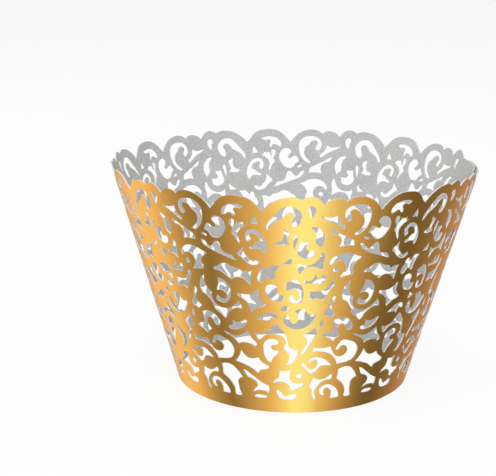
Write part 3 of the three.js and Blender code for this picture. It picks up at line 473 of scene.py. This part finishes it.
class Value:
    """A number in a material, on which sums are written as plain expressions."""

    def __init__(self, graph: Graph, socket: bpy.types.NodeSocket) -> None:
        """Keeps the material's graph and the socket that gives the number."""
        self.graph = graph
        self.socket = socket

    def maths(self, operation: str, *numbers: Value | float) -> Value:
        """Adds one Math node.

        Args:
            operation: The node's operation.
            numbers: Its inputs, in order.

        Returns:
            The node's result.
        """
        inputs = dict(enumerate(numbers))
        node = self.graph.node("ShaderNodeMath", {"operation": operation}, inputs)
        return Value(self.graph, node.outputs[0])

    def __add__(self, other: Value | float) -> Value:
        """Returns the sum."""
        return self.maths("ADD", self, other)

    def __radd__(self, other: float) -> Value:
        """Returns the sum, with the number first."""
        return self.maths("ADD", other, self)

    def __sub__(self, other: Value | float) -> Value:
        """Returns the difference."""
        return self.maths("SUBTRACT", self, other)

    def __rsub__(self, other: float) -> Value:
        """Returns the difference, with the number first."""
        return self.maths("SUBTRACT", other, self)

    def __mul__(self, other: Value | float) -> Value:
        """Returns the product."""
        return self.maths("MULTIPLY", self, other)

    def __rmul__(self, other: float) -> Value:
        """Returns the product, with the number first."""
        return self.maths("MULTIPLY", other, self)

    def larger(self, other: Value | float) -> Value:
        """Returns the larger of the two."""
        return self.maths("MAXIMUM", self, other)


class Graph:
    """The nodes of one material or of the world."""

    def __init__(self, tree: bpy.types.NodeTree) -> None:
        """Clears the tree and keeps it."""
        self.tree = tree
        tree.nodes.clear()

    def node(self, kind: str, settings: dict | None = None, inputs: dict | None = None) -> bpy.types.Node:
        """Adds one node, with its settings first and then its sockets.

        Args:
            kind: The node's type.
            settings: Its properties, or "stops" for the stops of a ramp.
            inputs: What its sockets get, by name or number: a value, a Value or a socket.

        Returns:
            The node.
        """
        node = self.tree.nodes.new(kind)
        for name, setting in (settings or {}).items():
            if name == "stops":
                self.stops(node.color_ramp, setting)
            else:
                setattr(node, name, setting)
        for key, source in (inputs or {}).items():
            self.feed(node.inputs[key], source)
        return node

    def stops(self, ramp: bpy.types.ColorRamp, stops: Iterable[tuple]) -> None:
        """Sets the stops of a ramp, each a position and a colour."""
        for number, (position, colour) in enumerate(stops):
            element = ramp.elements[number] if number < 2 else ramp.elements.new(position)
            element.position = position
            element.color = (*colour, 1.0)

    def feed(self, socket: bpy.types.NodeSocket, source: object) -> None:
        """Links a socket to a source, or sets the socket's own value."""
        if isinstance(source, Value):
            source = source.socket
        if isinstance(source, bpy.types.NodeSocket):
            self.tree.links.new(source, socket)
        elif isinstance(source, tuple) and len(source) == 3 and socket.type == "RGBA":
            socket.default_value = (*source, 1.0)
        else:
            socket.default_value = source

    def card_place(self) -> bpy.types.NodeSocket:
        """Returns the place on the card's own map, in millimetres."""
        return self.node("ShaderNodeUVMap", {"uv_map": CARD_MAP}).outputs[0]

    def noise(self, place: bpy.types.NodeSocket, scale: float, detail: float) -> Value:
        """Returns a noise from 0 to 1.

        Args:
            place: Where it is read.
            scale: How many of its lumps there are to a millimetre.
            detail: How many finer layers it has.

        Returns:
            The noise as a number.
        """
        inputs = {"Vector": place, "Scale": scale, "Detail": detail}
        return Value(self, self.node("ShaderNodeTexNoise", None, inputs).outputs["Fac"])

    def relief(self, height: Value, strength: float, depth: float) -> bpy.types.NodeSocket:
        """Returns the direction of a surface with a fine relief.

        Args:
            height: The relief, from 0 to 1.
            strength: How strongly it shows.
            depth: How deep it is, in metres.

        Returns:
            The direction.
        """
        inputs = {"Strength": strength, "Distance": depth, "Height": height}
        return self.node("ShaderNodeBump", None, inputs).outputs[0]

    def blend(self, factor: Value, first: object, second: object) -> bpy.types.NodeSocket:
        """Mixes two colours.

        Args:
            factor: How much of the second one.
            first: A colour or a colour socket.
            second: A colour or a colour socket.

        Returns:
            The mixed colour.
        """
        mix = self.node("ShaderNodeMix", {"data_type": "RGBA"}, {0: factor, 6: first, 7: second})
        return mix.outputs[2]

    def surface(self, shader: bpy.types.Node) -> None:
        """Gives the shader to the material's output."""
        self.node("ShaderNodeOutputMaterial", None, {"Surface": shader.outputs[0]})


def srgb(red: float, green: float, blue: float) -> Triple:
    """Turns a colour written from 0 to 255 into the linear values that shaders take."""
    return tuple(
        part / 255.0 / 12.92 if part <= 10.3 else ((part / 255.0 + 0.055) / 1.055) ** 2.4
        for part in (red, green, blue)
    )


def new_material(name: str) -> tuple[bpy.types.Material, Graph]:
    """Makes an empty material and its graph."""
    material = bpy.data.materials.new(name)
    material.use_nodes = True
    return material, Graph(material.node_tree)


@dataclass(frozen=True)
class GoldFoil:
    """Stamped gold foil on the outside: satin metal with a fine grain, coloured with soft upright stripes
    of painted reflection and a painted highlight round the cup.

    Attributes:
        edge_tint: Colour of the foil where it is seen at a flat angle.
        turn: Direction of the foil's grain, as a share of a full turn.
        coppery: How much green and blue the warmest tone of the painted reflection loses.
        streaks: How the grain is squeezed across the card and drawn out up it.
        drift: How far the clouds and the grain shift the painted reflection, as shares of the card's
            length.
        wear: How much the grain and the specks let the bronze through.
        painted_reflection_bands: Cup angle, level and copper lean of each band of painted reflection and
            painted highlight.
    """

    # Bronze: the worn foil's colour, and also the tone of the darkest painted reflection.
    bronze: Triple = (0.25, 0.138, 0.026)
    gold: Triple = (0.96, 0.52, 0.12)
    # Pale gold: the colour of the painted highlight.
    pale: Triple = (1.0, 0.80, 0.23)
    edge_tint: Triple = (1.0, 0.88, 0.80)
    roughness: float = 0.5
    anisotropy: float = 0.9
    turn: float = 0.25
    coppery: tuple[float, float] = (0.28, 0.6)
    cloud_scale: float = 0.12
    grain_scale: float = 1.6
    speck_scale: float = 2.6
    streaks: Triple = (3.0, 0.12, 1.0)
    drift: tuple[float, float] = (0.012, 0.008)
    wear: tuple[float, float] = (0.08, 0.1)
    relief_strength: float = 0.08
    relief_depth: float = 0.00004
    # Painted reflection and painted highlight round the cup, one band to a row. Each row gives a cup
    # angle, a level from 0 for a dark painted reflection to 1 for the painted highlight at the front, and
    # a lean to copper.
    painted_reflection_bands: tuple[Triple, ...] = (
        (-272.0, 0.35, 0.3), (-240.0, 0.5, 0.1), (-215.0, 0.1, 0.2), (-188.0, 0.74, 0.2),
        (-162.0, 0.1, 0.1), (-130.0, 0.5, 0.1), (-104.0, 0.3, 0.3), (-76.0, 0.46, 0.7),
        (-62.0, 0.56, 0.0), (-48.0, 0.5, 0.0), (-27.0, 0.12, 0.0), (-14.0, 0.44, 0.0),
        (-7.0, 0.58, 0.1), (1.0, 1.0, 0.0), (7.0, 0.97, 0.0), (13.0, 0.66, 0.0),
        (19.0, 0.46, 0.0), (25.0, 0.27, 0.0), (33.0, 0.05, 0.0), (40.0, 0.0, 0.1),
        (52.0, 0.13, 0.5), (64.0, 0.3, 0.85), (99.0, 0.35, 0.3),
    )

    def shade(self, level: float, painted_warmth: float) -> Triple:
        """Works out one tone of the foil's painted reflection.

        Args:
            level: 0 for bronze, a painted dark reflection, 0.5 for gold and 1 for pale gold, a painted
                highlight.
            painted_warmth: How far the painted reflection leans to copper.

        Returns:
            The colour.
        """
        low, high = (self.bronze, self.gold) if level < 0.5 else (self.gold, self.pale)
        part = 2.0 * level if level < 0.5 else 2.0 * level - 1.0
        red, green, blue = (a + (b - a) * part for a, b in zip(low, high))
        less_green, less_blue = self.coppery
        return red, green * (1.0 - less_green * painted_warmth), blue * (1.0 - less_blue * painted_warmth)

    def painted_reflection_colour(self, graph: Graph, place: bpy.types.NodeSocket, shift: Value) -> bpy.types.NodeSocket:
        """Returns the colour of the foil round the cup, painted with dark reflections and a highlight by
        cup angle.

        Args:
            graph: The material's graph.
            place: The place on the card's own map.
            shift: How far the painted reflection lies aside there, as a share of the card's length.

        Returns:
            The colour.
        """
        apart = graph.node("ShaderNodeSeparateXYZ", None, {"Vector": place})
        first = self.painted_reflection_bands[0][0]
        span = self.painted_reflection_bands[-1][0] - first
        along = Value(graph, apart.outputs["X"]) * (1.0 / (MAP_PER_DEGREE * span))
        round_cup = along - first / span
        stops = [
            ((angle - first) / span, self.shade(level, painted_warmth))
            for angle, level, painted_warmth in self.painted_reflection_bands
        ]
        ramp = graph.node("ShaderNodeValToRGB", {"stops": stops}, {"Fac": round_cup + shift})
        return ramp.outputs["Color"]

    def material(self) -> bpy.types.Material:
        """Builds the material.

        Returns:
            The gold foil.
        """
        material, graph = new_material("gold_foil")
        place = graph.card_place()
        streaked = graph.node("ShaderNodeMapping", None, {"Vector": place, "Scale": self.streaks})
        cloud = graph.noise(place, self.cloud_scale, 3.0)
        grain = graph.noise(streaked.outputs[0], self.grain_scale, 4.0)
        speck = graph.noise(place, self.speck_scale, 3.0)
        shift = (cloud - 0.5) * self.drift[0] + (grain - 0.5) * self.drift[1]
        worn = grain * self.wear[0] + speck * self.wear[1]
        # Base colour: painted reflection and painted highlight by cup angle, with random wear letting the
        # bronze through.
        colour = graph.blend(worn, self.painted_reflection_colour(graph, place, shift), self.bronze)
        rough = self.roughness - 0.06 + grain * 0.08 + speck * 0.04
        relief = grain * 0.7 + speck * 0.3
        shader = graph.node(
            "ShaderNodeBsdfPrincipled",
            None,
            {
                "Base Color": colour,
                "Metallic": 1.0,
                "Roughness": rough,
                "Specular Tint": self.edge_tint,
                "Anisotropic": self.anisotropy,
                "Anisotropic Rotation": self.turn,
                "Normal": graph.relief(relief, self.relief_strength, self.relief_depth),
            },
        )
        graph.surface(shader)
        return material


@dataclass(frozen=True)
class GreyBacking:
    """The uncoated inside of the card: matt pale grey paper with a fine speckle.

    Attributes:
        lightness: How pale the paper is on the whole, from 0 for dark to 1.
        speckled: How much the speckle changes that.
        clouded: How much the broad clouds change it.
    """

    pale: Triple = srgb(208, 208, 207)
    dark: Triple = srgb(150, 150, 150)
    lightness: float = 0.56
    speckle_scale: float = 2.2
    speckled: float = 1.3
    cloud_scale: float = 0.15
    clouded: float = 0.4
    roughness: float = 0.8
    sheen: float = 0.25
    relief_strength: float = 0.2
    relief_depth: float = 0.00005

    def material(self) -> bpy.types.Material:
        """Builds the material.

        Returns:
            The grey paper.
        """
        material, graph = new_material("grey_backing")
        place = graph.card_place()
        speckle = graph.noise(place, self.speckle_scale, 5.0)
        cloud = graph.noise(place, self.cloud_scale, 2.0)
        mottle = (speckle - 0.5) * self.speckled + (cloud - 0.5) * self.clouded + self.lightness
        shader = graph.node(
            "ShaderNodeBsdfPrincipled",
            None,
            {
                "Base Color": graph.blend(mottle, self.dark, self.pale),
                "Roughness": self.roughness + speckle * 0.1,
                "Specular IOR Level": self.sheen,
                "Normal": graph.relief(speckle, self.relief_strength, self.relief_depth),
            },
        )
        graph.surface(shader)
        return material


@dataclass(frozen=True)
class PaperCore:
    """The cut edge of the card: white paper fibres between the foil and the backing."""

    pale: Triple = srgb(228, 227, 224)
    dark: Triple = srgb(190, 187, 182)
    fibre_scale: float = 2.5
    roughness: float = 0.82
    relief_strength: float = 0.2
    relief_depth: float = 0.00005

    def material(self) -> bpy.types.Material:
        """Builds the material.

        Returns:
            The white paper.
        """
        material, graph = new_material("paper_core")
        fibre = graph.noise(graph.card_place(), self.fibre_scale, 4.0)
        shader = graph.node(
            "ShaderNodeBsdfPrincipled",
            None,
            {
                "Base Color": graph.blend(fibre, self.dark, self.pale),
                "Roughness": self.roughness + fibre * 0.1,
                "Normal": graph.relief(fibre, self.relief_strength, self.relief_depth),
            },
        )
        graph.surface(shader)
        return material


@dataclass
class LaceCard:
    """The wrapper's card: a flat fan cut into lace, given its thickness and rolled up.

    Ends and limits are cup angles in degrees, and lengths are in millimetres.

    Attributes:
        lap_from: Inner end of the card.
        lap_to: Outer end of the card, which laps over the inner one.
        plain_top: Height of the plain top edge in the lap, up the slant.
        plain_step: Turn between the last scallop and the plain edge.
        tallest: Highest that a scallop reaches, up the slant.
        outer_columns: Where the plain edge has points, inwards from the outer end.
        inner_columns: The same, inwards from the inner end.
        arc_step: Turn between the points of the lower edge.
        fold_step: Turn between the lines on which the card bends.
        smoothness: How many stretches a curve has between two points.
        flat_depth: Thickness of the flat sheet before it is rolled.
        weld: Points closer than this become one.
        sliver: Faces narrower than this close up.
        cut_slack: How near to a fold line a point counts as on it.
        bend: Largest bend, in radians, across an edge that is cleared away.
    """

    fan: Fan = field(default_factory=Fan)
    lap_from: float = -272.0
    lap_to: float = 99.0
    lace_from: float = -258.0
    lace_to: float = 81.0
    scallop_from: float = -255.9
    scallop_to: float = 76.2
    plain_top: float = 52.2
    plain_step: float = 1.2
    tallest: float = 53.68
    outer_columns: tuple[float, ...] = (0.0, 5.0, 10.0, 15.0)
    inner_columns: tuple[float, ...] = (8.0, 4.0, 0.0)
    arc_step: float = 2.5
    fold_step: float = 3.5
    smoothness: int = 4
    flat_depth: float = 1.0
    weld: float = 0.002
    sliver: float = 0.004
    cut_slack: float = 0.0005
    bend: float = 0.01

    def repeats(self) -> range:
        """Returns the numbers of the repeats that reach onto the card."""
        first = math.floor((self.lap_from - self.fan.front_repeat) / self.fan.repeat_cup)
        last = math.ceil((self.lap_to - self.fan.front_repeat) / self.fan.repeat_cup)
        return range(first, last + 1)

    def scallops(self) -> Places:
        """Returns the scalloped part of the top edge, from left to right."""
        edge = []
        for repeat in self.repeats():
            for x, y, *sharp in SCALLOPS:
                cup, up = self.fan.from_trace(x, y, repeat)
                if self.scallop_from < cup < self.scallop_to:
                    edge.append((cup, min(up, self.tallest), SHARP if sharp else 0))
        return edge

    def plain_edge(self, columns: Sequence[float]) -> Places:
        """Returns a plain stretch of the top edge through the given cup angles, sharp at its ends."""
        ends = (columns[0], columns[-1])
        return [(cup, self.plain_top, SHARP if cup in ends else 0) for cup in columns]

    def sheet_edge(self) -> Places:
        """Returns the outer edge of the card, once round."""
        edge = []
        steps = round((self.lap_to - self.lap_from) / self.arc_step)
        for i in range(steps + 1):
            cup = self.lap_from + (self.lap_to - self.lap_from) * i / steps
            edge.append((cup, 0.0, SHARP if i in (0, steps) else 0))
        outer = [self.lap_to - inset for inset in self.outer_columns]
        inner = [self.lap_from + inset for inset in self.inner_columns]
        edge.extend(self.plain_edge([*outer, self.scallop_to + self.plain_step]))
        edge.extend(reversed(self.scallops()))
        edge.extend(self.plain_edge([self.scallop_from - self.plain_step, *inner]))
        return edge

    def openings(self) -> list[Places]:
        """Returns every opening of the lace that lies wholly inside the patterned part."""
        cut = []
        for outline in OPENINGS.values():
            for repeat in self.repeats():
                places = []
                for x, y, *sharp in outline:
                    cup, up = self.fan.from_trace(x, y, repeat)
                    places.append((cup, up, SHARP if sharp else 0))
                if all(self.lace_from < cup < self.lace_to for cup, _, _ in places):
                    cut.append(places)
        return cut

    def draw(self, curve: bpy.types.Curve, places: Sequence[Place]) -> None:
        """Draws one closed outline on the flat curve.

        Args:
            curve: The flat curve that gets it.
            places: Its points, once round.
        """
        spline = curve.splines.new("BEZIER")
        spline.bezier_points.add(len(places) - 1)
        spline.use_cyclic_u = True
        spline.resolution_u = self.smoothness
        for point, (cup, up, sharp) in zip(spline.bezier_points, places):
            point.co = self.fan.flat(cup, up)
            handle = "VECTOR" if sharp else "AUTO"
            point.handle_left_type = handle
            point.handle_right_type = handle

    def flat_sheet(self) -> bpy.types.Mesh:
        """Fills the outlines.

        Returns:
            The flat lace, without thickness.
        """
        curve = bpy.data.curves.new("lace_outline", "CURVE")
        curve.dimensions = "2D"
        curve.fill_mode = "BOTH"
        self.draw(curve, self.sheet_edge())
        for opening in self.openings():
            self.draw(curve, opening)
        drawn = bpy.data.objects.new("lace_outline", curve)
        bpy.context.scene.collection.objects.link(drawn)
        bpy.context.view_layer.update()
        finished = drawn.evaluated_get(bpy.context.evaluated_depsgraph_get())
        mesh = bpy.data.meshes.new_from_object(finished)
        bpy.data.objects.remove(drawn)
        bpy.data.curves.remove(curve)
        return mesh

    def fold_lines(self, sheet: bmesh.types.BMesh) -> None:
        """Cuts the flat sheet along the lines on which it bends, and fills it afresh between them."""
        steps = math.ceil((self.lap_to - self.lap_from) / self.fold_step)
        for i in range(1, steps):
            cup = self.lap_from + self.fold_step * i
            turn = math.radians(cup * self.fan.repeat_turn / self.fan.repeat_cup)
            across = Vector((math.cos(turn), -math.sin(turn), 0.0))
            bmesh.ops.bisect_plane(
                sheet,
                geom=[*sheet.verts, *sheet.edges, *sheet.faces],
                dist=self.cut_slack,
                plane_co=(0, 0, 0),
                plane_no=across,
            )
        for face in sheet.faces:
            cup, _ = self.fan.unflat(face.calc_center_median())
            face.material_index = math.floor((cup - self.lap_from) / self.fold_step) % 2
        within = [vert for vert in sheet.verts if not vert.is_boundary]
        bmesh.ops.dissolve_limit(
            sheet, angle_limit=self.bend, verts=within, edges=sheet.edges[:], delimit={"MATERIAL"}
        )
        bmesh.ops.triangulate(sheet, faces=sheet.faces[:])
        bmesh.ops.dissolve_degenerate(sheet, dist=self.sliver, edges=sheet.edges[:])

    def mesh(self) -> bpy.types.Mesh:
        """Builds the finished card.

        Returns:
            The rolled lace, in metres, with its surfaces in slots and its own map named card.
        """
        flat = self.flat_sheet()
        sheet = bmesh.new()
        sheet.from_mesh(flat)
        bpy.data.meshes.remove(flat)
        bmesh.ops.remove_doubles(sheet, verts=sheet.verts[:], dist=self.weld)
        self.fold_lines(sheet)
        grown = bmesh.ops.extrude_face_region(sheet, geom=sheet.faces[:], use_keep_orig=True)
        raised = [part for part in grown["geom"] if isinstance(part, bmesh.types.BMVert)]
        bmesh.ops.translate(sheet, verts=raised, vec=(0.0, 0.0, self.flat_depth))
        bmesh.ops.recalc_face_normals(sheet, faces=sheet.faces[:])
        self.roll(sheet)
        card = bpy.data.meshes.new("lace_card")
        sheet.to_mesh(card)
        sheet.free()
        self.shade(card)
        return card

    def roll(self, sheet: bmesh.types.BMesh) -> None:
        """Sorts the faces by surface, maps them and rolls the sheet into the cup."""
        card_map = sheet.loops.layers.uv.new(CARD_MAP)
        middle = self.flat_depth / 2.0
        for face in sheet.faces:
            raised = [vert.co.z > middle for vert in face.verts]
            kind = Face.CUT_EDGE
            if all(raised):
                kind = Face.FOIL
            elif not any(raised):
                kind = Face.BACKING
            face.material_index = kind.value
            face.smooth = True
            for loop in face.loops:
                cup, up = self.fan.unflat(loop.vert.co)
                depth = self.fan.card * loop.vert.co.z / self.flat_depth
                loop[card_map].uv = (cup * MAP_PER_DEGREE, up + depth)
        for vert in sheet.verts:
            cup, up = self.fan.unflat(vert.co)
            side = 1.0 if vert.co.z > middle else -1.0
            vert.co = self.fan.rolled(cup, up, side)

    def shade(self, card: bpy.types.Mesh) -> None:
        """Gives the two broad surfaces the true direction of the cone, and the cut edges their own."""
        directions = []
        for polygon in card.polygons:
            for corner in polygon.loop_indices:
                place = card.vertices[card.loops[corner].vertex_index].co
                outward = self.fan.outward(math.degrees(math.atan2(place.x, -place.y)))
                if polygon.material_index == Face.FOIL.value:
                    directions.append(outward)
                elif polygon.material_index == Face.BACKING.value:
                    directions.append(-outward)
                else:
                    directions.append(polygon.normal)
        card.normals_split_custom_set(directions)

    def dress(self, card: bpy.types.Mesh) -> None:
        """Gives the card its three finishes, in the order of the slots."""
        for finish in (GoldFoil(), GreyBacking(), PaperCore()):
            card.materials.append(finish.material())

    def build(self) -> bpy.types.Object:
        """Builds, dresses and places the card.

        Returns:
            The card as a piece that stands for the wrapper.
        """
        mesh = self.mesh()
        self.dress(mesh)
        card = bpy.data.objects.new("lace_card", mesh)
        bpy.context.scene.collection.objects.link(card)
        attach(card, "root")
        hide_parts("wrapper")
        return card


@dataclass(frozen=True)
class Lamp:
    """One soft rectangular light that looks at a place in the cup, in metres."""

    name: str
    place: Triple
    target: Triple
    width: float
    height: float
    level: float

    def build(self) -> None:
        """Makes the lamp, whose face shines at its level."""
        lamp = bpy.data.lights.new(self.name, "AREA")
        lamp.shape = "RECTANGLE"
        lamp.size = self.width
        lamp.size_y = self.height
        lamp.energy = self.level * math.pi * self.width * self.height
        placed = bpy.data.objects.new(self.name, lamp)
        bpy.context.scene.collection.objects.link(placed)
        look = Vector(self.target) - Vector(self.place)
        placed.rotation_euler = look.to_track_quat("-Z", "Y").to_euler()
        placed.location = self.place
        placed.visible_camera = False


@dataclass
class Studio:
    """The plain pale floor, the soft lights and the camera.

    Lengths are in metres and turns in radians.

    Attributes:
        floor_share: How much of the floor that is seen shines by itself, and so stays white.
        sky: Level of the even light from all round.
        lens: Focal length in millimetres, on a sensor as wide as sensor says.
        near: Nearest that the camera sees.
        pitch: How far the camera looks down.
        yaw: How far it looks to the right.
        roll: How far it leans.
    """

    floor_size: float = 6.0
    floor_tone: float = 0.8
    floor_share: float = 0.9
    sky: float = 0.4
    lens: float = 88.65
    sensor: float = 36.0
    near: float = 0.01
    camera_place: Triple = (0.0, -0.2758928, 0.1033430)
    pitch: float = 0.2516201
    yaw: float = -0.0374041
    roll: float = 0.0042397
    lamps: tuple[Lamp, ...] = (
        Lamp("top_light", (0.0, -0.05, 0.80), CUP_MIDDLE, 0.7, 0.7, 2.2),
        Lamp("front_light", (0.04, -0.60, 0.42), CUP_MIDDLE, 0.46, 0.5, 3.7),
        Lamp("left_light", (-0.55, 0.16, 0.25), CUP_MIDDLE, 0.5, 0.5, 1.4),
    )

    def floor(self) -> None:
        """Makes the floor, which keeps the cup's shadow."""
        shape = bmesh.new()
        bmesh.ops.create_grid(shape, x_segments=1, y_segments=1, size=self.floor_size / 2.0)
        mesh = bpy.data.meshes.new("floor")
        shape.to_mesh(mesh)
        shape.free()
        material, graph = new_material("floor")
        path = graph.node("ShaderNodeLightPath")
        seen = Value(graph, path.outputs["Is Camera Ray"])
        seen = seen.larger(Value(graph, path.outputs["Is Glossy Ray"]))
        seen = seen.larger(Value(graph, path.outputs["Is Transmission Ray"]))
        tone = (self.floor_tone, self.floor_tone, self.floor_tone)
        paper = graph.node("ShaderNodeBsdfDiffuse", None, {"Color": tone})
        white = graph.node("ShaderNodeEmission", None, {"Color": (1.0, 1.0, 1.0), "Strength": 1.0})
        mixed = graph.node(
            "ShaderNodeMixShader",
            None,
            {0: seen * self.floor_share, 1: paper.outputs[0], 2: white.outputs[0]},
        )
        graph.surface(mixed)
        mesh.materials.append(material)
        floor = bpy.data.objects.new("floor", mesh)
        bpy.context.scene.collection.objects.link(floor)

    def world(self) -> None:
        """Sets the even light from all round."""
        world = bpy.data.worlds.new("studio")
        world.use_nodes = True
        graph = Graph(world.node_tree)
        sky = graph.node("ShaderNodeBackground", None, {"Color": (1.0, 1.0, 1.0), "Strength": self.sky})
        graph.node("ShaderNodeOutputWorld", None, {"Surface": sky.outputs[0]})
        bpy.context.scene.world = world

    def camera(self) -> None:
        """Sets up the camera at the photograph's viewing angle."""
        data = bpy.data.cameras.new("camera")
        data.sensor_fit = "HORIZONTAL"
        data.sensor_width = self.sensor
        data.lens = self.lens
        data.clip_start = self.near
        camera = bpy.data.objects.new("camera", data)
        bpy.context.scene.collection.objects.link(camera)
        turn = Matrix.Rotation(-self.yaw, 4, "Z")
        tip = Matrix.Rotation(math.pi / 2.0 - self.pitch, 4, "X")
        lean = Matrix.Rotation(self.roll, 4, "Z")
        camera.matrix_world = Matrix.Translation(self.camera_place) @ turn @ tip @ lean
        bpy.context.scene.camera = camera

    def build(self) -> None:
        """Sets the whole stage."""
        bpy.context.scene.view_settings.view_transform = "Standard"
        self.floor()
        self.world()
        for lamp in self.lamps:
            lamp.build()
        self.camera()


def main() -> None:
    """Builds the stage and the wrapper in order, and reports each piece."""
    logging.basicConfig(level=logging.INFO, format="%(name)s: %(message)s")
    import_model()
    Studio().build()
    card = LaceCard().build()
    LOG.info("%s: %d faces", card.name, len(card.data.polygons))


if __name__ == "__main__":
    main()
